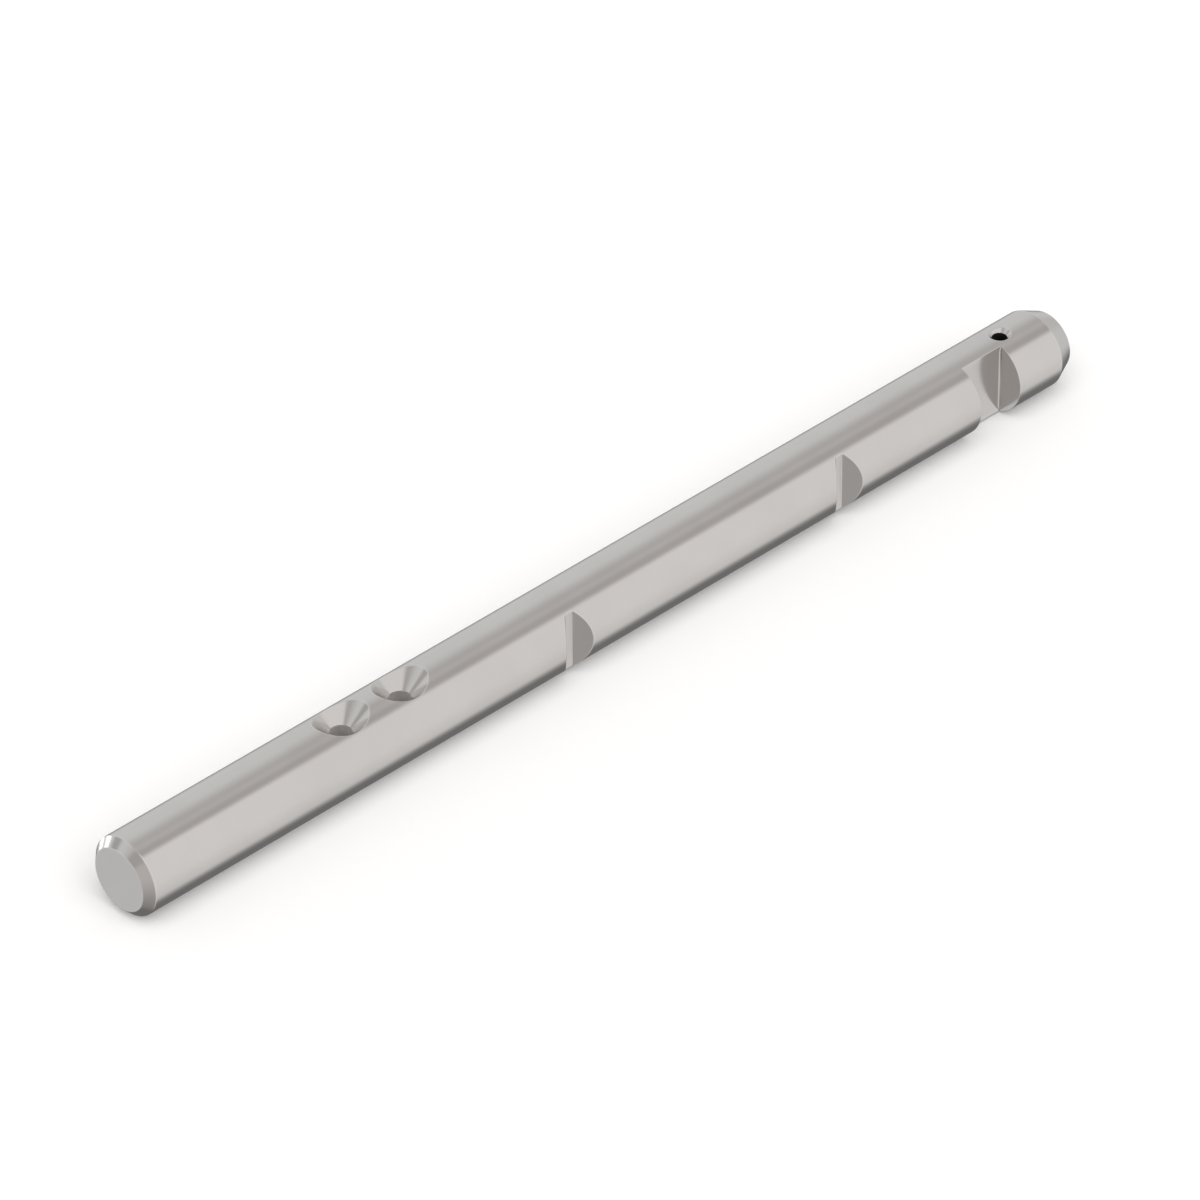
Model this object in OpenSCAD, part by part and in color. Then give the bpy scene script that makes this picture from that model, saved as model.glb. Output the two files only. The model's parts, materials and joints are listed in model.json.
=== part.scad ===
// Shifter rod: a turned and ground selector rail. Two detent notches and a finger slot are milled
// along one side, and two fork screw seats and a cross pin hole are drilled from above.
// Lengths are in millimetres and angles in degrees. X runs along the rod from its datum end,
// the notched side faces -Y and the drilled side faces +Z. The origin is the centre of the datum
// end face, so a place along the rod is its distance from that face.

/* [Rod] */
// Diameter of the ground rod
rod_d = 16; // [14:0.5:24]
// Length over both end faces
rod_l = 240; // [220:1:320]

/* [Ends] */
// Leg of the 45 degree chamfer at the datum end
datum_chamfer = 1.65; // [0.5:0.05:3]
// Length of the lead-in taper at the slotted end
lead_l = 4.2; // [2:0.1:7]
// How far the lead-in taper draws the end face in from the rod's surface
lead_drop = 1.9; // [0.5:0.1:3.5]

/* [Fork screw seats] */
// Centre of the first seat, from the datum end
seat_from_datum = 54; // [20:0.5:60]
// Distance between neighbouring seats
seat_pitch = 14.7; // [13:0.1:20]
// Number of seats
seat_count = 2; // [1:1:2]
// Diameter of the conical seat, level with the top of the rod
seat_d = 11.8; // [8:0.1:12.8]
// Angle between the sides of the conical seat
seat_angle = 90; // [60:1:110]
// Diameter of the pilot hole below the seat
pilot_d = 4.2; // [3:0.1:5.5]
// Depth of the pilot hole at full diameter, from the top of the rod
pilot_depth = 10; // [8:0.5:12]
// Angle of the drill point at the bottom of the pilot hole
drill_angle = 118; // [90:1:140]

/* [Detent notches] */
// Centre of the first notch, from the datum end
notch_from_datum = 106.6; // [85:0.1:115]
// Distance between neighbouring notches
notch_pitch = 70.9; // [40:0.1:85]
// Number of notches
notch_count = 2; // [1:1:2]
// Depth of a notch below the rod's surface
notch_depth = 3.1; // [1:0.1:5]
// Width of the flat at the bottom of a notch
notch_flat = 1.9; // [0.5:0.1:4]
// Angle between the walls of a notch
notch_angle = 80; // [60:1:110]

/* [Finger slot] */
// Centre of the slot, from the slotted end
slot_from_end = 21.25; // [16:0.05:30]
// Width of the slot along the rod
slot_w = 10.7; // [6:0.1:16]
// Depth of the slot below the rod's surface
slot_depth = 5.4; // [3:0.1:6.4]
// Radius of the fillets along the slot's floor
slot_fillet = 0.5; // [0.2:0.1:1.5]

/* [Cross pin hole] */
// Centre of the hole, from the slotted end
pin_from_end = 13.5; // [9:0.1:20]
// Diameter of the hole
pin_d = 3; // [2:0.1:5]
// Leg of the 45 degree chamfer at both mouths of the hole
pin_chamfer = 0.85; // [0.1:0.05:1]

/* [Hidden] */
$fn = 96;
steel = [0.76, 0.75, 0.74];
rod_r = rod_d / 2;
// How far a cutter runs past the surface that it cuts
overrun = 1;
cutter_h = rod_d + 2 * overrun;
pilot_r = pilot_d / 2;
pilot_floor = rod_r - pilot_depth;
drill_tip = pilot_floor - pilot_r / tan(drill_angle / 2);
seat_slope = tan(seat_angle / 2);
seat_base = rod_r - (seat_d / 2 - pilot_r) / seat_slope;
seat_mouth_r = seat_d / 2 + overrun * seat_slope;
notch_floor = rod_r - notch_depth;
notch_mouth = notch_flat / 2 + (notch_depth + overrun) * tan(notch_angle / 2);
slot_floor = rod_r - slot_depth;
pin_r = pin_d / 2;
pin_mouth_r = pin_r + pin_chamfer + overrun;

// Bar with a chamfer at the datum end and a lead-in taper at the slotted end
module turned_bar() {
    rotate([0, 90, 0])
        rotate_extrude()
            polygon([
                [0, 0],
                [rod_r - datum_chamfer, 0],
                [rod_r, datum_chamfer],
                [rod_r, rod_l - lead_l],
                [rod_r - lead_drop, rod_l],
                [0, rod_l]
            ]);
}

// Cutter for one fork screw seat: a cone over a drilled pilot hole
module seat_cutter() {
    rotate_extrude()
        polygon([
            [0, drill_tip],
            [pilot_r, pilot_floor],
            [pilot_r, seat_base],
            [seat_mouth_r, rod_r + overrun],
            [0, rod_r + overrun]
        ]);
}

// Carries an outline drawn along the rod and outwards from its axis up the whole notched side
module side_cutter() {
    linear_extrude(height = cutter_h, center = true)
        mirror([0, 1])
            children();
}

// Outline of one detent notch: a flat between two slanted walls
module notch_outline() {
    polygon([
        [-notch_flat / 2, notch_floor],
        [notch_flat / 2, notch_floor],
        [notch_mouth, rod_r + overrun],
        [-notch_mouth, rod_r + overrun]
    ]);
}

// Outline of the finger slot: square walls, with a fillet at each end of the floor
module slot_outline() {
    translate([-slot_w / 2, slot_floor + slot_fillet])
        square([slot_w, slot_depth + overrun - slot_fillet]);
    translate([-slot_w / 2 + slot_fillet, slot_floor])
        square([slot_w - 2 * slot_fillet, slot_depth]);
    for (side = [-1, 1])
        translate([side * (slot_w / 2 - slot_fillet), slot_floor + slot_fillet])
            circle(r = slot_fillet);
}

// Cutter for the cross pin hole: straight through, with a chamfer at each mouth
module pin_cutter() {
    cylinder(h = cutter_h, r = pin_r, center = true);
    for (end = [0, 1])
        mirror([0, 0, end])
            translate([0, 0, rod_r - pin_chamfer])
                cylinder(h = pin_chamfer + overrun, r1 = pin_r, r2 = pin_mouth_r);
}

module shifter_rod() {
    color(steel)
        difference() {
            turned_bar();
            for (i = [0 : seat_count - 1])
                translate([seat_from_datum + i * seat_pitch, 0, 0])
                    seat_cutter();
            for (i = [0 : notch_count - 1])
                translate([notch_from_datum + i * notch_pitch, 0, 0])
                    side_cutter()
                        notch_outline();
            translate([rod_l - slot_from_end, 0, 0])
                side_cutter()
                    slot_outline();
            translate([rod_l - pin_from_end, 0, 0])
                pin_cutter();
        }
}

shifter_rod();
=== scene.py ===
import json
import math

import bpy
import numpy as np
from bpy.props import FloatProperty, FloatVectorProperty, PointerProperty
from mathutils import Matrix, Vector


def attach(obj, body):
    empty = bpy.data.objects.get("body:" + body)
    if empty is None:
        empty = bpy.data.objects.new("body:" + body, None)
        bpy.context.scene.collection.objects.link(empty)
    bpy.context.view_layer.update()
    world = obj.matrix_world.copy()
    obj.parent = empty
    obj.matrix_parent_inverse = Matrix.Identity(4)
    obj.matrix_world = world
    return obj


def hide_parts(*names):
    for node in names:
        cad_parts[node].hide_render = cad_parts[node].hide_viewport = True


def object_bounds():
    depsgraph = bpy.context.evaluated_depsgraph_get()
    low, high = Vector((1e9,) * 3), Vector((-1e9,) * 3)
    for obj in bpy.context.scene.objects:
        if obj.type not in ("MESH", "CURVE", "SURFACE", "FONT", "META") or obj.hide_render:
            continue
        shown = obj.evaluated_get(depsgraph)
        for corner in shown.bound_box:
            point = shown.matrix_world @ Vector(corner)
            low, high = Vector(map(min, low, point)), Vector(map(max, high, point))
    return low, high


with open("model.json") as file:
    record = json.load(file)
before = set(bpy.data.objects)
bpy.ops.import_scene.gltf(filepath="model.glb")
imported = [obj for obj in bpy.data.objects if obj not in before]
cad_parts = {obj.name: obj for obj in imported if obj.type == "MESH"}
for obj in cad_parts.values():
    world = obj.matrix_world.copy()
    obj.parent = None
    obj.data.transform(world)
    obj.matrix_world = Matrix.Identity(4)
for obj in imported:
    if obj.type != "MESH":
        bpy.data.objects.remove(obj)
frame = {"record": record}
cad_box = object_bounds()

bl_info = {
    "name": "Shifter Rod",
    "version": (1, 0, 0),
    "blender": (4, 5, 0),
    "location": "View3D > Sidebar > Shifter Rod",
    "description": "Works the steel skin of a shifter rod and sets it in a pale studio",
    "category": "Object",
}

MM = 0.001
ROD_NODE = "shifter_rod"
ROD_PIECE = "ground_rod"
MOUNTS = {mount["name"]: mount for mount in frame["record"]["mounts"]}

QUARTER_TURN = math.radians(90.0)
# Columns of a surface's table: place, normal, and then what is painted on the skin for its finish
PLACE, NORMAL = slice(0, 3), slice(3, 6)
PAINTS = {"across": 6, "cut": 7, "bore": 8, "wear": 9}
CUT_AND_BORE = slice(7, 9)

# Rows of the bar stand this far apart, apart from the close rows where a milled floor runs out
ROW_STEP = math.radians(2.5)
ROW_CLEARANCE = ROW_STEP / 3.0
RUNOUT_ROWS = 9
RUNOUT_SPREAD = 1.2
# Just past the close rows, as a share of their spread
PAST_RUNOUT = 1.01
# Rows at a lesser cosine from the notched side never meet a milled floor
LEAST_COSINE = 0.1
# Turn past a wall's run-out over which its columns spread out on the skin
SPREAD_TURN = 0.35 * ROW_STEP
# Wear on an edge fades out over this length, or over one part of a short run
WEAR_FADE = 0.3 * MM
WEAR_PARTS = 3.0
# Wear on the edges that lie deeper in a hole
DEEP_SHINE = 0.6
# Share of a run that the rounding of a corner may use up
ROUNDING_SHARE = 0.4
# Narrowest strip that keeps two columns of vertices apart where a wall has run out
LEAST_STRIP = 0.02 * MM
# Width of a wall's columns on the rows past its run-out, where they lie on the skin
SKIN_STRIP = 1.2 * MM
# Margins of skin that a hole's window takes in along the rod, past a seat's rim and past the slot
SEAT_MARGIN = 1.4 * MM
PIN_MARGIN = 0.25 * MM
# Half of the turn round the rod that a seat's window takes in
SEAT_HALF_ANGLE = math.radians(47.5)
# How far the pin hole's window is drawn back over the slot's edge, on the rows past the slot's run-out
PIN_WINDOW_SHIFT = 0.8 * MM
# Rounding of the edge between the pin hole and its chamfers, and half of the angle of those chamfers
PIN_BREAK = 0.05 * MM
PIN_HALF_ANGLE = math.radians(45.0)
# How far a pilot hole counts as a bore: it is as rough as the pin hole, but is not painted near black like
# it; its steel is painted lighter instead, as painted light inside it
PILOT_BORE = 0.5


class Steps:
    """Steps of the skin's grid along each kind of run."""

    ARC = 4
    END_FACE, CHAMFER, TAPER = 6, 2, 4
    FRONT_SKIN, SEAT_SKIN, LONG_SKIN, REAR_SKIN = 10, 24, 8, 4
    NOTCH_SKIN, NOTCH_WALL, NOTCH_FLOOR = 3, 4, 3
    SLOT_SKIN, SLOT_WALL, SLOT_FLOOR = 2, 6, 8
    PIN_FRONT, PIN_SKIN = 1, 16
    SEAT_RIM, SEAT_CONE, PILOT_WALL, DRILL_POINT = 3, 8, 8, 3
    PIN_RIM, PIN_CHAMFER, PIN_BORE = 2, 2, 14


def length(name, description, default):
    """A property for a length in metres."""
    return FloatProperty(name=name, description=description, default=default, unit="LENGTH", precision=5)


def angle(name, description, degrees):
    """A property for an angle, given in degrees."""
    return FloatProperty(name=name, description=description, default=math.radians(degrees), subtype="ANGLE")


def colour(name, description, default):
    """A property for a linear colour."""
    return FloatVectorProperty(name=name, description=description, default=default, size=3,
                               subtype="COLOR", min=0.0, max=1.0)


def factor(name, description, default, top=1.0):
    """A property for a plain number between nothing and a top value."""
    return FloatProperty(name=name, description=description, default=default, min=0.0, max=top)


def mount_place(name, axis):
    """Where a mount lies along one axis of the frame, in metres."""
    return MOUNTS[name]["pos_m"][axis]


def mount_size(name, key):
    """A size that a mount states, in metres."""
    return MOUNTS[name]["dims"][key] * MM


class RodSizes(bpy.types.PropertyGroup):
    radius: length("Radius", "Radius of the ground rod", mount_size("front_journal", "r_mm"))
    full_length: length("Length", "Length over both end faces", round(cad_box[1].x - cad_box[0].x, 6))
    edge_break: length("Edge break", "How far the rounding of a sharp edge reaches", 0.12 * MM)
    datum_chamfer: length("Datum chamfer", "Leg of the chamfer at the datum end", 1.65 * MM)
    lead_length: length("Lead-in length", "Length of the taper at the slotted end", 4.2 * MM)
    lead_drop: length("Lead-in drop", "How far the taper draws the end face in", 1.9 * MM)
    seat_front: length("Front seat", "Centre of the front seat", mount_place("fork_seat_front", 0))
    seat_rear: length("Rear seat", "Centre of the rear seat", mount_place("fork_seat_rear", 0))
    seat_radius: length("Seat radius", "Radius of a seat, level with the top of the rod", 5.9 * MM)
    seat_angle: angle("Seat angle", "Angle between the sides of a seat", 90)
    pilot_radius: length("Pilot radius", "Radius of a pilot hole", mount_size("fork_seat_front", "r_mm"))
    pilot_wall: length("Pilot wall", "Straight wall of a pilot hole",
                       mount_size("fork_seat_front", "length_mm"))
    drill_angle: angle("Drill angle", "Angle of the drill point in a pilot hole", 118)
    notch_front: length("Front notch", "Centre of the front notch", mount_place("front_detent", 0))
    notch_rear: length("Rear notch", "Centre of the rear notch", mount_place("rear_detent", 0))
    notch_floor: length("Notch floor", "From the axis to a notch's floor", -mount_place("front_detent", 1))
    notch_flat: length("Notch flat", "Width of the flat in a notch", 1.9 * MM)
    notch_angle: angle("Notch angle", "Angle between the walls of a notch", 80)
    notch_fillet: length("Notch fillet", "Reach of the fillet beside a notch's first wall", 0.38 * MM)
    slot_centre: length("Slot", "Centre of the finger slot", mount_place("finger_slot", 0))
    slot_width: length("Slot width", "Width of the finger slot", 10.7 * MM)
    slot_floor: length("Slot floor", "From the axis to the slot's floor", -mount_place("finger_slot", 1))
    slot_fillet: length("Slot fillet", "Radius of the fillets along the slot's floor", 0.5 * MM)
    pin_centre: length("Pin hole", "Centre of the cross pin hole", mount_place("cross_pin", 0))
    pin_radius: length("Pin radius", "Radius of the cross pin hole", mount_size("cross_pin", "r_mm"))
    pin_chamfer: length("Pin chamfer", "Leg of the chamfer at both mouths of the pin hole", 0.85 * MM)


class SteelLook(bpy.types.PropertyGroup):
    steel: colour("Steel", "Colour of the bare ground steel", (0.815, 0.800, 0.785))
    worn: colour("Worn edge", "Colour of the steel along rubbed edges", (0.900, 0.890, 0.880))
    # Near-black colour of the pin hole: painted shade of the deep through hole, not the steel's own colour
    bore: colour("Pin bore", "Colour of the oiled steel inside the pin hole", (0.080, 0.075, 0.070))
    # Lighter colour of the pilot holes: painted light inside them, lighter than the bare steel
    pilot: colour("Pilot bore", "Colour of the fresh steel inside the pilot holes", (0.870, 0.860, 0.850))
    roughness: factor("Roughness", "Roughness of the ground skin", 0.13)
    cut_roughness: factor("Cut roughness", "What milling and turning add to the roughness", 0.04)
    bore_roughness: factor("Bore roughness", "What drilling adds to the roughness", 0.80)
    grind_height: length("Grinding marks", "Height of the marks that grinding leaves", 0.0006 * MM)
    cut_height: length("Cutter marks", "Height of the marks that a cutter leaves", 0.0020 * MM)


class StudioLook(bpy.types.PropertyGroup):
    floor: colour("Floor", "Colour of the studio floor", (0.96, 0.96, 0.96))
    front_wall: colour("Front wall", "Colour of the pale wall that the notched side faces",
                       (0.734, 0.713, 0.701))
    back_wall: colour("Back wall", "Colour of the wall behind the rod", (0.625, 0.628, 0.624))
    between: colour("Between walls", "Colour of the room between the two walls", (0.620, 0.615, 0.610))
    ceiling: colour("Ceiling", "Colour of the gap between the walls overhead", (0.430, 0.411, 0.402))
    corner: colour("Dim corner", "Colour of the corner beyond the datum end", (0.510, 0.485, 0.468))
    shade: colour("Shade", "Colour of the dark ground, which dims the room too", (0.170, 0.167, 0.163))
    post: colour("Posts", "Colour of the posts near the datum end", (0.405, 0.388, 0.378))
    strip_lamp: factor("Strip lamp", "What the narrow lamp along the ceiling adds", 0.115)
    lamp_box: factor("Lamp box", "Brightness of the lamp boxes behind the datum end", 1.9, 5.0)
    key: factor("Key light", "Strength of the soft light from above", 1.75, 10.0)
    lens: FloatProperty(name="Lens", description="Focal length in millimetres", default=271.44, min=1.0)
    distance: length("Distance", "From the camera to the point it is aimed at", 1.6736)
    aim: length("Aim", "Place along the rod's axis that the camera is aimed at", 0.11954)
    azimuth: angle("Azimuth", "Turn of the camera about the vertical, from the notched side", -44.204)
    elevation: angle("Elevation", "Height of the camera above the horizon", 36.134)
    roll: angle("Roll", "Turn of the camera about its own line of sight", -0.373)


def unit(vectors):
    """Vectors of the same direction with a length of one."""
    return vectors / np.linalg.norm(vectors, axis=-1, keepdims=True)


def radial(points):
    """Direction from the rod's axis straight out to each point: its place with the X part taken away."""
    return unit(points * np.array([0.0, 1.0, 1.0]))


def smooth_least(bar, plane, blend):
    """The lesser of two distances with its corner rounded off: within blend of a tie, a parabola
    joins them. Gives the distance and the share that the plane has in it."""
    share = np.clip(0.5 + 0.5 * (bar - plane) / blend, 0.0, 1.0)
    return bar + (plane - bar) * share - blend * share * (1.0 - share), share


class Sweep:
    """A surface of many rows. Each row follows one list of corners with straight runs between them, so
    the surface is a function of two parameters: the step along the list, and the row. Near a rounded
    corner a row leaves its run and follows a circular arc, the quadratic curve through both run ends
    whose middle weight is the cosine of half the turn."""

    # Place in the frame or distance from the axis across which tool marks repeat
    LAYS = {
        "x": lambda points: points[..., 0],
        "y": lambda points: points[..., 1],
        "z": lambda points: points[..., 2],
        "r": lambda points: np.hypot(points[..., 1], points[..., 2]),
    }

    def __init__(self, radius, rows):
        self.radius = radius
        self.rows = rows
        self.corners = []
        self.roundings = []
        self.shine = []
        self.runs = []
        self.columns = {}

    def corner(self, place, rounding=0.0, shine=0.0, name=None):
        """Adds a corner, at one place for each row. Its rounding starts this far from it. Shine is 1 on
        an edge that wear brightens, for all rows or for each."""
        if name:
            self.columns[name] = len(self.corners)
        self.corners.append(np.broadcast_to(np.asarray(place, float), (self.rows, 3)))
        self.roundings.append(rounding)
        self.shine.append(np.broadcast_to(shine, (self.rows,)))

    def run(self, steps, lay="x", normal=None, cut=1.0, bore=0.0, rubbed=0.0):
        """Adds the run to the next corner. Without a normal it lies on the ground skin of the rod. Cut says
        how far a tool has taken that skin away, for all rows or for each."""
        share = np.broadcast_to(0.0 if normal is None else cut, (self.rows,))
        self.runs.append((steps, lay, normal, share, bore, rubbed))

    def facing(self, points, number):
        """Outward normal that a run would have at these points."""
        normal = self.runs[number][2]
        return radial(points) if normal is None else np.broadcast_to(normal, points.shape)

    def across(self, points, number):
        """Place across a run's tool marks: across the cutter's where it is cut, along the rod elsewhere."""
        lay, cut = self.runs[number][1], self.runs[number][3]
        return cut * self.LAYS[lay](points) + (1.0 - cut) * self.LAYS["x"](points)

    def carry(self):
        """Works out the whole surface: for each step and row a place, a normal, the place across the tool
        marks, how far the steel is cut or bored, and its wear. Fills columns with the named corners'
        steps."""
        corners = np.stack(self.corners)
        legs = np.diff(corners, axis=0)
        lengths = np.linalg.norm(legs, axis=2)
        ways = legs / lengths[..., None]
        reach = np.repeat(np.array(self.roundings)[:, None], self.rows, axis=1)
        reach[1:-1] = np.minimum(reach[1:-1], ROUNDING_SHARE * np.minimum(lengths[:-1], lengths[1:]))
        weights = np.sqrt(np.clip(0.5 + 0.5 * np.sum(ways[:-1] * ways[1:], axis=2), 0.0, 1.0))

        strips, starts, total = [], {}, 0
        for number, (steps, _, normal, cut, bore, rubbed) in enumerate(self.runs):
            span = lengths[number] - reach[number] - reach[number + 1]
            fade = np.minimum(WEAR_FADE, span / WEAR_PARTS)
            share = np.linspace(0.0, 1.0, steps + 1)[:, None]
            away = np.vstack([np.zeros((1, self.rows)), fade + (span - 2.0 * fade) * share, span[None]])
            points = corners[number] + ways[number] * (reach[number] + away)[..., None]
            if normal is None:
                points = points * np.array([1.0, 0.0, 0.0]) + self.radius * radial(points)
            wear = (self.shine[number] * np.clip(1.0 - away / WEAR_FADE, 0.0, 1.0)
                    + self.shine[number + 1] * np.clip(1.0 - (span - away) / WEAR_FADE, 0.0, 1.0) + rubbed)
            values = [self.across(points, number), np.broadcast_to(cut, away.shape),
                      np.full(away.shape, bore), wear]
            strip = np.concatenate([points, self.facing(points, number), np.stack(values, axis=-1)],
                                   axis=-1)
            if number:
                if self.roundings[number]:
                    arc = self.arc(strips[-1][-1], strip[0], number, corners[number],
                                   weights[number - 1])
                    strips.append(arc)
                    total += len(arc)
                else:
                    strip = strip[1:]
                    starts[number] = total - 1
            strips.append(strip)
            total += len(strip)
        starts[0], starts[len(self.runs)] = 0, total - 1
        self.columns = {name: starts[number] for name, number in self.columns.items()}
        return np.concatenate(strips)

    def arc(self, before, after, number, corner, weight):
        """Circular arc from the end of one run to the start of the next, as a weighted quadratic curve.
        Normals turn evenly from one run's to the other's."""
        place = np.linspace(0.0, 1.0, Steps.ARC + 2)[1:-1, None, None]
        first, middle, last = (1 - place) ** 2, 2 * place * (1 - place) * weight[:, None], place ** 2
        total = first + middle + last
        points = (first * before[:, PLACE] + middle * corner + last * after[:, PLACE]) / total
        normals = unit((1 - place) * self.facing(points, number - 1) + place * self.facing(points, number))
        across = ((1 - place) * self.across(points, number - 1)[..., None]
                  + place * self.across(points, number)[..., None])
        states = (1 - place) * before[:, CUT_AND_BORE] + place * after[:, CUT_AND_BORE]
        wear = np.broadcast_to(self.shine[number][:, None], across.shape)
        return np.concatenate([points, normals, across, states, wear], axis=-1)


def runout(rod, floor):
    """Angle from the notched side at which a milled floor meets the round skin, and the half width of
    the rounding there: the cosine of the angle is the floor's distance over the radius."""
    meeting = math.acos(floor / rod.radius)
    steepness = floor * math.sin(meeting) / math.cos(meeting) ** 2
    return meeting, RUNOUT_SPREAD * rod.edge_break / steepness


def row_angles(rod):
    """Angles of the bar's rows, from the notched side over the top: an even fan, with close rows where
    the floors of the notches and of the slot run out. The lower half mirrors the upper half."""
    half = np.linspace(0.0, math.pi, round(math.pi / ROW_STEP) + 1)
    for floor in (rod.notch_floor, rod.slot_floor):
        meeting, spread = runout(rod, floor)
        close = meeting + np.linspace(-spread, spread, RUNOUT_ROWS)
        half = np.concatenate([half[np.abs(half - meeting) > spread + ROW_CLEARANCE], close])
    half = np.sort(half)
    return np.concatenate([-half[-2:0:-1], half])


class MilledFloor:
    """A flat floor milled across the notched side, as the bar's rows meet it. Its radius on a row is its
    distance from the axis over the cosine of the row's angle, rounded into the skin where it runs
    out."""

    def __init__(self, rod, floor, angles, spokes):
        meeting, spread = runout(rod, floor)
        cosine = np.cos(angles)
        plane = np.where(cosine > LEAST_COSINE, floor / np.maximum(cosine, LEAST_COSINE), 2.0 * rod.radius)
        self.level, share = smooth_least(rod.radius, plane, rod.edge_break)
        self.depth = rod.radius - self.level
        self.drop = self.depth * np.maximum(cosine, 0.0)
        self.spokes = spokes
        self.normal = unit(share[:, None] * np.array([0.0, -1.0, 0.0]) + (1 - share)[:, None] * spokes)
        self.cut = np.clip(self.depth / (2.0 * rod.edge_break), 0.0, 1.0)
        self.rubbed = np.clip(1.0 - np.abs(np.abs(angles) - meeting) * rod.radius / WEAR_FADE, 0.0, 1.0)
        self.beyond = np.clip((np.abs(angles) - meeting - spread) / SPREAD_TURN, 0.0, 1.0)

    def wall(self, direction):
        """Normals of a wall beside the floor, turning into the skin's own where the wall runs out."""
        share = self.cut[:, None]
        return unit(share * np.array(direction) + (1 - share) * self.spokes)

    def strip(self, wall_width):
        """Width of a wall along the rod on each row, never less than a narrow strip, and wider again on
        the rows past the run-out, where its columns lie on the skin."""
        return np.maximum(wall_width, LEAST_STRIP) + self.beyond * SKIN_STRIP

    def edge(self, rounding, shine):
        """Rounding and shine of an edge of the cut, whose shine fades where the wall runs out."""
        return {"rounding": rounding, "shine": shine * self.cut}


def bar_surface(rod):
    """The bar with its ends, notches and slot: rows along the rod at set angles round its axis, each
    carried from the centre of the datum face out over the chamfer, along the skin, down and up the
    walls of each cut that it crosses, over the taper and in to the centre of the other face."""
    angles = row_angles(rod)
    along = np.array([1.0, 0.0, 0.0])
    spokes = np.stack([np.zeros_like(angles), -np.cos(angles), np.sin(angles)], axis=1)
    sweep = Sweep(rod.radius, len(angles))
    notch = MilledFloor(rod, rod.notch_floor, angles, spokes)
    slot = MilledFloor(rod, rod.slot_floor, angles, spokes)
    crisp = {"rounding": rod.edge_break, "shine": 1.0}

    def at(x, r):
        return along * np.reshape(x, (-1, 1)) + spokes * np.reshape(r, (-1, 1))

    def skin_to(x, steps, name=None):
        sweep.run(steps)
        sweep.corner(at(x, rod.radius), name=name)

    sweep.corner(at(0.0, 0.0))
    sweep.run(Steps.END_FACE, "r", -along)
    sweep.corner(at(0.0, rod.radius - rod.datum_chamfer), **crisp)
    sweep.run(Steps.CHAMFER, "x", unit(spokes - along))
    sweep.corner(at(rod.datum_chamfer, rod.radius), **crisp)

    window = rod.seat_radius + SEAT_MARGIN
    skin_to(rod.seat_front - window, Steps.FRONT_SKIN, "seat_front")
    skin_to((rod.seat_front + rod.seat_rear) / 2.0, Steps.SEAT_SKIN, "seats_meet")
    skin_to(rod.seat_rear + window, Steps.SEAT_SKIN, "seat_rear")

    half = QUARTER_TURN - rod.notch_angle / 2.0
    half_flat = rod.notch_flat / 2.0
    notch_room = 2.0 * (rod.radius - rod.notch_floor)
    notch_wall = notch.strip(notch.drop * math.tan(rod.notch_angle / 2.0))
    notch_brink, notch_crease = notch.edge(rod.edge_break, 1.0), notch.edge(rod.edge_break, 0.0)
    notch_fillet = notch.edge(rod.notch_fillet, 0.0)
    for centre in (rod.notch_front, rod.notch_rear):
        skin_to(centre - notch_room, Steps.LONG_SKIN)
        sweep.run(Steps.NOTCH_SKIN)
        sweep.corner(at(centre - half_flat - notch_wall, rod.radius), **notch_brink)
        sweep.run(Steps.NOTCH_WALL, "y", notch.wall((math.sin(half), -math.cos(half), 0.0)), notch.cut)
        sweep.corner(at(centre - half_flat, notch.level), **notch_fillet)
        sweep.run(Steps.NOTCH_FLOOR, "x", notch.normal, notch.cut, rubbed=notch.rubbed)
        sweep.corner(at(centre + half_flat, notch.level), **notch_crease)
        sweep.run(Steps.NOTCH_WALL, "y", notch.wall((-math.sin(half), -math.cos(half), 0.0)), notch.cut)
        sweep.corner(at(centre + half_flat + notch_wall, rod.radius), **notch_brink)
        skin_to(centre + notch_room, Steps.NOTCH_SKIN)

    slot_brink, slot_fillet = slot.edge(rod.edge_break, 1.0), slot.edge(rod.slot_fillet, 0.0)
    low, high = rod.slot_centre - rod.slot_width / 2.0, rod.slot_centre + rod.slot_width / 2.0
    shifted = high - slot.beyond * PIN_WINDOW_SHIFT
    slot_wall = slot.strip(0.0) * (slot.depth < LEAST_STRIP)
    skin_to(low - rod.datum_chamfer, Steps.LONG_SKIN)
    sweep.run(Steps.SLOT_SKIN)
    sweep.corner(at(low, rod.radius), **slot_brink)
    sweep.run(Steps.SLOT_WALL, "y", slot.wall(along), slot.cut)
    sweep.corner(at(low + slot_wall, slot.level), **slot_fillet)
    sweep.run(Steps.SLOT_FLOOR, "x", slot.normal, slot.cut, rubbed=slot.rubbed)
    sweep.corner(at(shifted - slot_wall, slot.level), **slot_fillet)
    sweep.run(Steps.SLOT_WALL, "y", slot.wall(-along), slot.cut)
    sweep.corner(at(shifted, rod.radius), **slot_brink)

    skin_to(shifted + PIN_MARGIN, Steps.PIN_FRONT, "pin_front")
    skin_to(2.0 * rod.pin_centre - high - PIN_MARGIN + PIN_WINDOW_SHIFT, Steps.PIN_SKIN, "pin_rear")
    slope = rod.lead_drop / rod.lead_length
    sweep.run(Steps.REAR_SKIN)
    sweep.corner(at(rod.full_length - rod.lead_length, rod.radius), **crisp)
    sweep.run(Steps.TAPER, "x", unit(spokes + slope * along))
    sweep.corner(at(rod.full_length, rod.radius - rod.lead_drop), **crisp)
    sweep.run(Steps.END_FACE, "r", along)
    sweep.corner(at(rod.full_length, 0.0))
    return angles, sweep.carry(), sweep.columns


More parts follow.
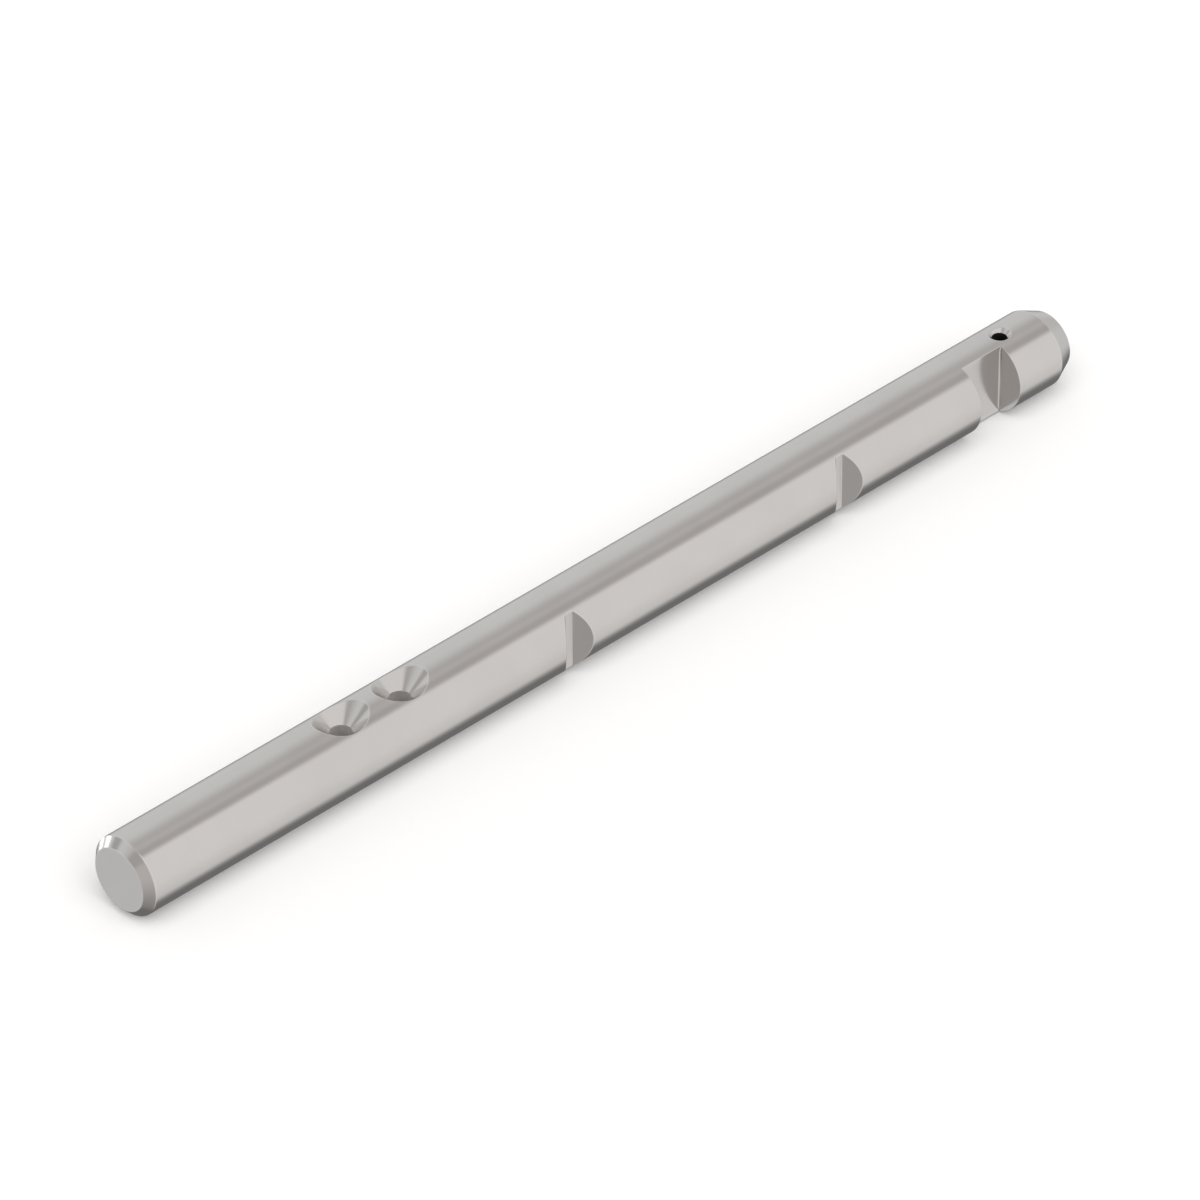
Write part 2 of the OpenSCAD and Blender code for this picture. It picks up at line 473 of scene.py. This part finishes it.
def cone_rim(rod, top_radius, slope, turn):
    """Rim of a countersink on the round skin: at each angle, the distance from its axis where the cone
    is as high as the skin. That is the root of a quadratic, and the height follows from it."""
    lift = rod.radius - top_radius / slope
    square = 1.0 / slope ** 2 + np.sin(turn) ** 2
    rim = (np.sqrt((lift / slope) ** 2 - square * (lift ** 2 - rod.radius ** 2)) - lift / slope) / square
    return rim, np.sqrt(rod.radius ** 2 - (rim * np.sin(turn)) ** 2)


class HolePatch:
    """A hole drilled straight down at one place along the rod, as a profile carried round its axis. Each
    row starts at one vertex of the window in the bar that the patch fills."""

    def __init__(self, rod, centre, border):
        self.centre = np.array([centre, 0.0, 0.0])
        self.turn = np.arctan2(border[:, 1], border[:, 0] - centre)
        self.out = np.stack([np.cos(self.turn), np.sin(self.turn), np.zeros_like(self.turn)], axis=1)
        self.up = np.array([0.0, 0.0, 1.0])
        self.sweep = Sweep(rod.radius, len(border))
        self.sweep.corner(border)

    def at(self, distance, height):
        """Points at a distance from the hole's axis and a height above the rod's axis."""
        return (self.centre + self.out * np.reshape(distance, (-1, 1))
                + self.up * np.reshape(height, (-1, 1)))

    def cone_normal(self, half_angle, side=1.0):
        """Normals of a cone that opens upwards, or downwards with side -1."""
        return side * math.sin(half_angle) * self.up - math.cos(half_angle) * self.out


def seat_surface(rod, centre, border):
    """A fork screw seat: skin in to the rim, cone down to the pilot hole, its wall and its drill point."""
    patch = HolePatch(rod, centre, border)
    sweep = patch.sweep
    half = rod.seat_angle / 2.0
    base = rod.radius - (rod.seat_radius - rod.pilot_radius) / math.tan(half)
    floor = base - rod.pilot_wall
    rim, height = cone_rim(rod, rod.seat_radius, math.tan(half), patch.turn)
    sweep.run(Steps.SEAT_RIM)
    sweep.corner(patch.at(rim, height), rod.edge_break, 1.0)
    sweep.run(Steps.SEAT_CONE, "z", patch.cone_normal(half))
    sweep.corner(patch.at(rod.pilot_radius, base), rod.edge_break, DEEP_SHINE)
    # A bore of PILOT_BORE paints the pilot hole lighter than the steel: painted light inside it
    sweep.run(Steps.PILOT_WALL, "z", -patch.out, bore=PILOT_BORE)
    sweep.corner(patch.at(rod.pilot_radius, floor), rod.edge_break)
    sweep.run(Steps.DRILL_POINT, "z", patch.cone_normal(rod.drill_angle / 2.0), bore=PILOT_BORE)
    sweep.corner(patch.at(0.0, floor - rod.pilot_radius / math.tan(rod.drill_angle / 2.0)))
    return sweep.carry()


def pin_surface(rod, centre, border):
    """The cross pin hole: skin in to the upper rim, chamfer, straight bore, lower chamfer and skin out to
    the window underneath, which mirrors the upper one."""
    patch = HolePatch(rod, centre, border)
    sweep = patch.sweep
    half = PIN_HALF_ANGLE
    mouth = rod.radius - rod.pin_chamfer
    rim, height = cone_rim(rod, rod.pin_radius + rod.pin_chamfer, math.tan(half), patch.turn)
    sweep.run(Steps.PIN_RIM)
    sweep.corner(patch.at(rim, height), rod.edge_break, 1.0)
    sweep.run(Steps.PIN_CHAMFER, "z", patch.cone_normal(half))
    sweep.corner(patch.at(rod.pin_radius, mouth), PIN_BREAK, DEEP_SHINE)
    # A bore of 1 paints the pin hole near black: painted shade of the deep through hole
    sweep.run(Steps.PIN_BORE, "z", -patch.out, bore=1.0)
    sweep.corner(patch.at(rod.pin_radius, -mouth), PIN_BREAK, DEEP_SHINE)
    sweep.run(Steps.PIN_CHAMFER, "z", patch.cone_normal(half, -1.0))
    sweep.corner(patch.at(rim, -height), rod.edge_break, 1.0)
    sweep.run(Steps.PIN_RIM)
    sweep.corner(border * np.array([1.0, 1.0, -1.0]))
    return sweep.carry()


def border_of(numbers, columns, rows):
    """Vertex numbers round a window of the bar, anticlockwise from outside: along its first row, up its
    last column, back along its last row and down its first column."""
    (first, last), (low, high) = columns, rows
    return np.concatenate([numbers[first:last, low], numbers[last, low:high],
                           numbers[last:first:-1, high], numbers[first, high:low:-1]])


def faces_between(numbers):
    """Four-sided faces between neighbouring steps and rows of a closed grid of vertex numbers."""
    following = np.roll(numbers, -1, axis=1)
    return np.stack([numbers[:-1], numbers[1:], following[1:], following[:-1]], axis=-1)


def rod_mesh(rod):
    """Joins the bar and the patches of its holes into one closed skin. The bar's grid gives up the faces
    inside each window, and a patch starts on the window's own vertices, so no seam is left. The
    centres of the end faces and the drill points are single vertices."""
    angles, bar, columns = bar_surface(rod)
    steps, rows = bar.shape[:2]
    numbers = np.arange(steps * rows).reshape(steps, rows)
    numbers[0], numbers[-1] = numbers[0, 0], numbers[-1, 0]
    kept = np.ones((steps - 1, rows), bool)

    def row_at(turn):
        return int(np.argmin(np.abs(angles - turn)))

    def cut_window(first, last, low, high):
        columns_used, rows_used = (columns[first], columns[last]), (low, high)
        kept[columns[first]:columns[last], low:high] = False
        return border_of(numbers, columns_used, rows_used)

    seat_rows = (row_at(QUARTER_TURN - SEAT_HALF_ANGLE), row_at(QUARTER_TURN + SEAT_HALF_ANGLE))
    meeting, spread = runout(rod, rod.slot_floor)
    past_slot = int(np.searchsorted(angles, meeting + PAST_RUNOUT * spread))
    pin_rows = (past_slot, row_at(math.pi - angles[past_slot]))
    level_row = row_at(0.0)
    under_rows = (2 * level_row - pin_rows[1], 2 * level_row - pin_rows[0])

    tables, faces = [bar.reshape(-1, bar.shape[-1])], []
    count = steps * rows
    flat = tables[0][:, PLACE]
    seats = ((rod.seat_front, "seat_front", "seats_meet"), (rod.seat_rear, "seats_meet", "seat_rear"))
    for centre, first, last in seats:
        border = cut_window(first, last, *seat_rows)
        patch = seat_surface(rod, centre, flat[border])
        patch_numbers = count + np.arange(patch[1:].size // patch.shape[-1]).reshape(-1, len(border))
        patch_numbers[-1] = patch_numbers[-1, 0]
        faces.append(faces_between(np.vstack([border, patch_numbers]))[..., ::-1])
        tables.append(patch[1:].reshape(-1, patch.shape[-1]))
        count += patch_numbers.size

    border = cut_window("pin_front", "pin_rear", *pin_rows)
    cut_window("pin_front", "pin_rear", *under_rows)
    step, row = np.divmod(border, rows)
    under = step * rows + 2 * level_row - row
    patch = pin_surface(rod, rod.pin_centre, flat[border])
    patch_numbers = count + np.arange(patch[1:-1].size // patch.shape[-1]).reshape(-1, len(border))
    faces.append(faces_between(np.vstack([border, patch_numbers, under]))[..., ::-1])
    tables.append(patch[1:-1].reshape(-1, patch.shape[-1]))

    faces.append(faces_between(numbers)[kept])
    quads = np.concatenate([block.reshape(-1, 4) for block in faces])
    table = np.concatenate(tables)
    used, quads = np.unique(quads, return_inverse=True)
    return table[used], quads.reshape(-1, 4)


def split_points(quads):
    """Faces as lists: a face with two corners on one vertex becomes the triangle of its other three."""
    doubled = quads == np.roll(quads, -1, axis=1)
    plain = quads[~doubled.any(axis=1)].tolist()
    pinched = quads[doubled.any(axis=1)]
    keep = ~doubled[doubled.any(axis=1)]
    return plain + pinched[keep].reshape(-1, 3).tolist()


class Wire:
    """One output of a node tree. Arithmetic on wires adds the Math nodes that work it out."""

    # Sockets of a Mix node that mixes colours
    MIX_SHARE, MIX_FIRST, MIX_SECOND, MIX_RESULT = 0, 6, 7, 2

    def __init__(self, tree, socket=None):
        self.tree = tree
        self.socket = socket

    def node(self, kind, settings=None, inputs=None, output=0):
        """Adds a node of one type, applies its settings, then sets or links its sockets."""
        made = self.tree.nodes.new(kind)
        for name, value in (settings or {}).items():
            setattr(made, name, value)
        for key, value in (inputs or {}).items():
            if isinstance(value, Wire):
                self.tree.links.new(value.socket, made.inputs[key])
            else:
                made.inputs[key].default_value = value
        return Wire(self.tree, made.outputs[output] if made.outputs else None)

    def maths(self, operation, *values):
        return self.node("ShaderNodeMath", {"operation": operation}, dict(enumerate(values)))

    def __add__(self, other):
        return self.maths("ADD", self, other)

    def __sub__(self, other):
        return self.maths("SUBTRACT", self, other)

    def __rsub__(self, other):
        return self.maths("SUBTRACT", other, self)

    def __mul__(self, other):
        return self.maths("MULTIPLY", self, other)

    __radd__ = __add__
    __rmul__ = __mul__

    def above(self, value=0.0):
        """The greater of this wire and a value."""
        return self.maths("MAXIMUM", self, value)

    def rise(self, low, high):
        """Smooth step from 0 at low to 1 at high."""
        return self.node("ShaderNodeMapRange", {"interpolation_type": "SMOOTHSTEP"},
                         {"Value": self, "From Min": low, "From Max": high})

    def blend(self, first, second):
        """Colour between two others, by this wire's value."""
        return self.node("ShaderNodeMix", {"data_type": "RGBA"}, {
            self.MIX_SHARE: self, self.MIX_FIRST: first, self.MIX_SECOND: second}, self.MIX_RESULT)

    def towards(self, direction):
        """Cosine of the angle between this direction and a set one."""
        return self.node("ShaderNodeVectorMath", {"operation": "DOT_PRODUCT"},
                         {0: self, 1: tuple(Vector(direction).normalized())}, "Value")


def opaque(rgb, scale=1.0):
    """A linear colour with its alpha, made lighter or darker by a scale."""
    return tuple(channel * scale for channel in rgb) + (1.0,)


def new_tree(owner):
    """Empties an owner's node tree and gives the wire that adds nodes to it."""
    owner.use_nodes = True
    owner.node_tree.nodes.clear()
    return Wire(owner.node_tree)


# Noises of the steel: scale and detail of the clouds and smudges, then pitch, stretch and detail of the
# marks from grinding and cutting, and the grain that those marks share
CLOUDS, SMUDGES = (90.0, 3.0), (35.0, 2.0)
GRINDING, CUTTING = (0.35 * MM, 25.0, 3.0), (0.55 * MM, 40.0, 2.0)
MARK_GRAIN = 0.6
# Middle of a noise, and the levels between which clouds and smudges come in
MIDDLE = 0.5
CLOUD_LEVELS, SMUDGE_LEVELS = (0.3, 0.7), (0.52, 0.72)
# Shades as shares of the steel's colour, and how far smudges, grinding marks and wear show
THIN_CLOUD, THICK_CLOUD, SMUDGE_SHADE, MARK_SHADE = 0.985, 1.015, 0.93, 0.80
SMUDGE_SHOWS, MARK_SHOWS, MARK_FLOOR, WEAR_SHOWS = 0.15, 0.08, 0.04, 0.3
# What grinding marks, smudges and cutter marks add to the roughness, and what wear takes off
GRINDING_ADDS, SMUDGE_ADDS, CUTTING_ADDS, WEAR_TAKES = 0.05, 0.02, 0.08, 0.03


def steel_material(look):
    """Ground steel. Fine rings from grinding run round the skin, and coarser cutter marks run along the
    milled, turned and countersunk faces. Rubbed edges shine. The drilled holes are rough: the pilot
    holes are painted lighter than the bare steel, as painted light inside them, and the pin hole is
    painted near black, as painted shade of its deep bore."""
    material = bpy.data.materials.new("ground_steel_finish")
    tree = new_tree(material)
    place = tree.node("ShaderNodeTexCoord", output="Object")

    def painted(name):
        return tree.node("ShaderNodeAttribute", {"attribute_name": name}, output="Fac")

    def noise(scale, detail):
        return tree.node("ShaderNodeTexNoise", {"noise_dimensions": "3D"},
                         {"Vector": place, "Scale": scale, "Detail": detail})

    def marks(pitch, stretch, detail):
        slow = tree.node("ShaderNodeVectorMath", {"operation": "SCALE"}, {0: place, "Scale": stretch})
        return tree.node("ShaderNodeTexNoise", {"noise_dimensions": "4D"},
                         {"Vector": slow, "W": painted("across") * (1.0 / pitch), "Scale": 1.0,
                          "Detail": detail, "Roughness": MARK_GRAIN})

    cut, bore, rubbed = painted("cut"), painted("bore"), painted("wear")
    # drilled marks every hole, which is roughened; shaded marks the pin hole, which is painted near black
    # as shade
    drilled, shaded = bore.rise(0.0, PILOT_BORE), bore.rise(PILOT_BORE, 1.0)
    clouds = noise(*CLOUDS).rise(*CLOUD_LEVELS)
    smudges = noise(*SMUDGES).rise(*SMUDGE_LEVELS)
    grinding, cutting = marks(*GRINDING), marks(*CUTTING)
    stripes = ((grinding - MIDDLE) * MARK_SHOWS + MARK_FLOOR).above(0.0)

    clean = clouds.blend(opaque(look.steel, THIN_CLOUD), opaque(look.steel, THICK_CLOUD))
    filmed = (smudges * SMUDGE_SHOWS).blend(clean, opaque(look.steel, SMUDGE_SHADE))
    striped = stripes.blend(filmed, opaque(look.steel, MARK_SHADE))
    # Pilot holes: painted lighter than the steel, as painted light inside them
    brightened = drilled.blend(striped, opaque(look.pilot))
    # Pin hole: painted near black, as painted shade of its deep bore
    dark = shaded.blend(brightened, opaque(look.bore))
    shining = (rubbed * WEAR_SHOWS).blend(dark, opaque(look.worn))

    roughness = (look.roughness + (grinding - MIDDLE) * GRINDING_ADDS + smudges * SMUDGE_ADDS
                 + cut * (look.cut_roughness + (cutting - MIDDLE) * CUTTING_ADDS)
                 + drilled * look.bore_roughness - rubbed * WEAR_TAKES)
    height = grinding * (1.0 - cut) * look.grind_height + cutting * cut * look.cut_height
    bump = tree.node("ShaderNodeBump", inputs={"Strength": 1.0, "Distance": 1.0, "Height": height})
    surface = tree.node("ShaderNodeBsdfPrincipled", inputs={
        "Base Color": shining, "Roughness": roughness, "Metallic": 1.0, "Normal": bump})
    tree.node("ShaderNodeOutputMaterial", inputs={"Surface": surface})
    return material


def new_object(name, points, faces, material):
    """A smooth-shaded mesh object at the origin, made from whole arrays."""
    mesh = bpy.data.meshes.new(name)
    mesh.from_pydata(points.tolist(), [], faces)
    mesh.shade_smooth()
    mesh.materials.append(material)
    made = bpy.data.objects.new(name, mesh)
    bpy.context.scene.collection.objects.link(made)
    return made


class SHIFTER_OT_make_rod(bpy.types.Operator):
    """Works the rod's steel skin and puts it in place of the plain solid"""

    bl_idname = "shifter.make_rod"
    bl_label = "Make rod"

    def execute(self, context):
        rod, look = context.scene.shifter_rod, context.scene.shifter_steel
        table, quads = rod_mesh(rod)
        if not np.isfinite(table).all():
            raise ValueError("the rod's sizes do not make a closed skin")
        made = new_object(ROD_PIECE, table[:, PLACE], split_points(quads), steel_material(look))
        made.data.normals_split_custom_set_from_vertices(table[:, NORMAL].tolist())
        for name, column in PAINTS.items():
            painted = made.data.attributes.new(name, "FLOAT", "POINT")
            painted.data.foreach_set("value", np.ascontiguousarray(table[:, column], np.float32))
        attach(made, "root")
        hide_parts(ROD_NODE)
        return {"FINISHED"}


def edge_of(degrees):
    """Cosine of an angle in degrees."""
    return math.cos(math.radians(degrees))


ALONG, UPWARDS = (1.0, 0.0, 0.0), (0.0, 0.0, 1.0)
WHITE = (1.0, 1.0, 1.0)
# What stands round the studio: its direction from the rod, and the cosines at its outer and inner edges
FRONT_WALL = ((-0.16, -1.0, 0.0), 0.17, 0.36)
BACK_WALL = ((-0.15, 1.0, 0.0), 0.0, 0.6)
CEILING = ((-0.20, 0.0, 1.0), 0.1, 0.6)
CORNER = ((-0.83, 0.56, 0.0), 0.02, 0.13)
SLOTTED_GROUND = ((0.52, 0.25, -0.82), 0.70, 0.96)
DATUM_GROUND = ((0.02, 0.20, -0.98), 0.90, 0.97)
FAR_END = ((0.957, 0.256, 0.138), edge_of(16.0), 1.0)
POSTS = (((-0.47, 0.79, 0.40), edge_of(13.5), edge_of(6.75)),
         ((-0.80, -0.13, 0.585), edge_of(18.0), edge_of(9.0)))
LAMP_BOXES = (((-0.230, 0.972, 0.020), edge_of(7.5), edge_of(6.0)),
              ((0.037, 0.955, -0.297), edge_of(7.5), edge_of(6.0)))
# Cosines between which the strip lamp comes in towards the back wall, goes out again and comes in upwards
STRIP_IN, STRIP_OUT, STRIP_UP = (-0.24, -0.08), (-0.03, 0.22), (0.4, 0.7)
# Cosines between which the dim corner goes out towards the back wall and upwards
CORNER_BACK, CORNER_UP = (0.05, 0.4), (0.45, 0.65)
# Cosines between which the ground at the back comes in: downwards, backwards and along the rod
GROUND_DOWN, GROUND_BACK, GROUND_ALONG = (0.08, 0.45), (0.0, 0.4), (0.1, 0.4)
# How far the shade's colour shows in the low room, the low corner, the ground at the back and the far end
LOW_ROOM, LOW_CORNER, BACK_GROUND, FAR_DIM = 0.4, 0.45, 0.6, 0.16
# The floor's rings out to the cove, the cove and the wall above it, in metres, and the steps of their grid
FLOOR_RINGS = (0.0, 0.3, 1.0, 1.8)
FLOOR_RADIUS = 2.6
COVE_RADIUS = 0.8
COVE_WALL = 0.6
FLOOR_TURNS, COVE_STEPS = 96, 12
# Turn of the key light, and the angle that it seems to take up
KEY_TURN = (math.radians(25.0), math.radians(-20.0), 0.0)
KEY_SPREAD = math.radians(70.0)
# Width of the camera's sensor in millimetres, and how far the camera sees in metres
SENSOR_WIDTH = 36.0
SIGHT_END = 20.0


def room_world(studio):
    """The room round the rod, by direction: a pale front wall and a greyer back wall with a darker ceiling
    between them, a narrow lamp along that ceiling, a dim corner beyond the datum end and two posts
    near it. The room darkens downwards, with dark ground under both ends and at the back of the
    slotted end. The far end is a little dim, and two lamp boxes stand behind the datum end."""
    world = bpy.data.worlds.new("studio_room")
    tree = new_tree(world)
    ray = tree.node("ShaderNodeTexCoord", output="Generated")

    def facing(thing):
        direction, outer, inner = thing
        return ray.towards(direction).rise(outer, inner)

    up, behind = ray.towards(UPWARDS), ray.towards(BACK_WALL[0])
    below = (0.0 - up).above(0.0)

    seen = facing(CEILING).blend(opaque(studio.between), opaque(studio.ceiling))
    strip = behind.rise(*STRIP_IN) * (1.0 - behind.rise(*STRIP_OUT)) * up.rise(*STRIP_UP)
    seen = (strip * studio.strip_lamp).blend(seen, opaque(WHITE))
    seen = facing(BACK_WALL).blend(seen, opaque(studio.back_wall))
    seen = facing(FRONT_WALL).blend(seen, opaque(studio.front_wall))
    corner = facing(CORNER) * (1.0 - behind.rise(*CORNER_BACK)) * (1.0 - up.rise(*CORNER_UP))
    seen = corner.blend(seen, opaque(studio.corner))
    for post in POSTS:
        seen = facing(post).blend(seen, opaque(studio.post))

    low = below * below * LOW_ROOM + below * corner * LOW_CORNER
    ground = below.rise(*GROUND_DOWN) * behind.rise(*GROUND_BACK) * ray.towards(ALONG).rise(*GROUND_ALONG)
    shades = (low, facing(SLOTTED_GROUND), facing(DATUM_GROUND), ground * BACK_GROUND,
              facing(FAR_END) * FAR_DIM)
    for shade in shades:
        seen = shade.blend(seen, opaque(studio.shade))
    for box in LAMP_BOXES:
        seen = facing(box).blend(seen, opaque((studio.lamp_box,) * 3))
    light = tree.node("ShaderNodeBackground", inputs={"Color": seen, "Strength": 1.0})
    tree.node("ShaderNodeOutputWorld", inputs={"Surface": light})
    return world


def studio_floor(studio, under):
    """Floor with a cove all round: a profile turned about the vertical through the rod's middle. It runs
    level to the cove, up a quarter circle and on up a low wall."""
    turns = np.linspace(0.0, 2.0 * math.pi, FLOOR_TURNS, endpoint=False)
    bend = np.linspace(0.0, QUARTER_TURN, COVE_STEPS)
    out = np.concatenate([FLOOR_RINGS, FLOOR_RADIUS + COVE_RADIUS * np.sin(bend),
                          [FLOOR_RADIUS + COVE_RADIUS]])
    up = np.concatenate([np.zeros(len(FLOOR_RINGS)), COVE_RADIUS * (1.0 - np.cos(bend)),
                         [COVE_RADIUS + COVE_WALL]])
    points = np.stack([studio.aim + out[:, None] * np.cos(turns), out[:, None] * np.sin(turns),
                       np.broadcast_to(under + up[:, None], (len(up), len(turns)))], axis=-1)
    numbers = np.arange(len(up) * len(turns)).reshape(len(up), len(turns))
    numbers[0] = 0
    used, quads = np.unique(faces_between(numbers).reshape(-1, 4), return_inverse=True)
    material = bpy.data.materials.new("studio_floor_paint")
    tree = new_tree(material)
    paint = tree.node("ShaderNodeBsdfDiffuse", inputs={"Color": opaque(studio.floor)})
    tree.node("ShaderNodeOutputMaterial", inputs={"Surface": paint})
    faces = split_points(quads.reshape(-1, 4))
    return new_object("studio_floor", points.reshape(-1, 3)[used], faces, material)


def studio_camera(studio):
    """Camera on a sphere round the point that it is aimed at, turned a little about its line of sight."""
    azimuth, elevation, roll = studio.azimuth, studio.elevation, studio.roll
    back = Vector((math.sin(azimuth) * math.cos(elevation), -math.cos(azimuth) * math.cos(elevation),
                   math.sin(elevation)))
    level = Vector((math.cos(azimuth), math.sin(azimuth), 0.0))
    right = math.cos(roll) * level + math.sin(roll) * back.cross(level)
    lens = bpy.data.cameras.new("studio_camera")
    lens.lens = studio.lens
    lens.sensor_width = SENSOR_WIDTH
    lens.clip_end = SIGHT_END
    made = bpy.data.objects.new("studio_camera", lens)
    turned = Matrix((right, back.cross(right), back)).transposed().to_4x4()
    made.matrix_world = Matrix.Translation(Vector((studio.aim, 0.0, 0.0)) + back * studio.distance) @ turned
    bpy.context.scene.collection.objects.link(made)
    return made


class SHIFTER_OT_set_studio(bpy.types.Operator):
    """Sets up the pale floor, the soft light, the room and the camera"""

    bl_idname = "shifter.set_studio"
    bl_label = "Set studio"

    def execute(self, context):
        scene, studio = context.scene, context.scene.shifter_studio
        floor = studio_floor(studio, -scene.shifter_rod.radius)
        floor.visible_glossy = False
        lamp = bpy.data.lights.new("key_light", "SUN")
        lamp.energy = studio.key
        lamp.angle = KEY_SPREAD
        key = bpy.data.objects.new("key_light", lamp)
        key.rotation_euler = KEY_TURN
        key.visible_glossy = False
        scene.collection.objects.link(key)
        scene.world = room_world(studio)
        scene.camera = studio_camera(studio)
        scene.view_settings.view_transform = "Standard"
        return {"FINISHED"}


class SHIFTER_PT_workshop(bpy.types.Panel):
    """Lists the rod's sizes and finish, the studio, and the steps that make them"""

    bl_label = "Shifter Rod"
    bl_idname = "SHIFTER_PT_workshop"
    bl_space_type = "VIEW_3D"
    bl_region_type = "UI"
    bl_category = "Shifter Rod"

    def draw(self, context):
        groups = ((context.scene.shifter_rod, SHIFTER_OT_make_rod), (context.scene.shifter_steel, None),
                  (context.scene.shifter_studio, SHIFTER_OT_set_studio))
        for group, step in groups:
            box = self.layout.box()
            for name in group.__annotations__:
                box.prop(group, name)
            if step:
                box.operator(step.bl_idname)


CLASSES = (RodSizes, SteelLook, StudioLook, SHIFTER_OT_make_rod, SHIFTER_OT_set_studio,
           SHIFTER_PT_workshop)


def register():
    for kind in CLASSES:
        bpy.utils.register_class(kind)
    bpy.types.Scene.shifter_rod = PointerProperty(type=RodSizes)
    bpy.types.Scene.shifter_steel = PointerProperty(type=SteelLook)
    bpy.types.Scene.shifter_studio = PointerProperty(type=StudioLook)


def unregister():
    del bpy.types.Scene.shifter_rod
    del bpy.types.Scene.shifter_steel
    del bpy.types.Scene.shifter_studio
    for kind in reversed(CLASSES):
        bpy.utils.unregister_class(kind)


def main():
    register()
    bpy.ops.shifter.make_rod()
    bpy.ops.shifter.set_studio()


if __name__ == "__main__":
    main()
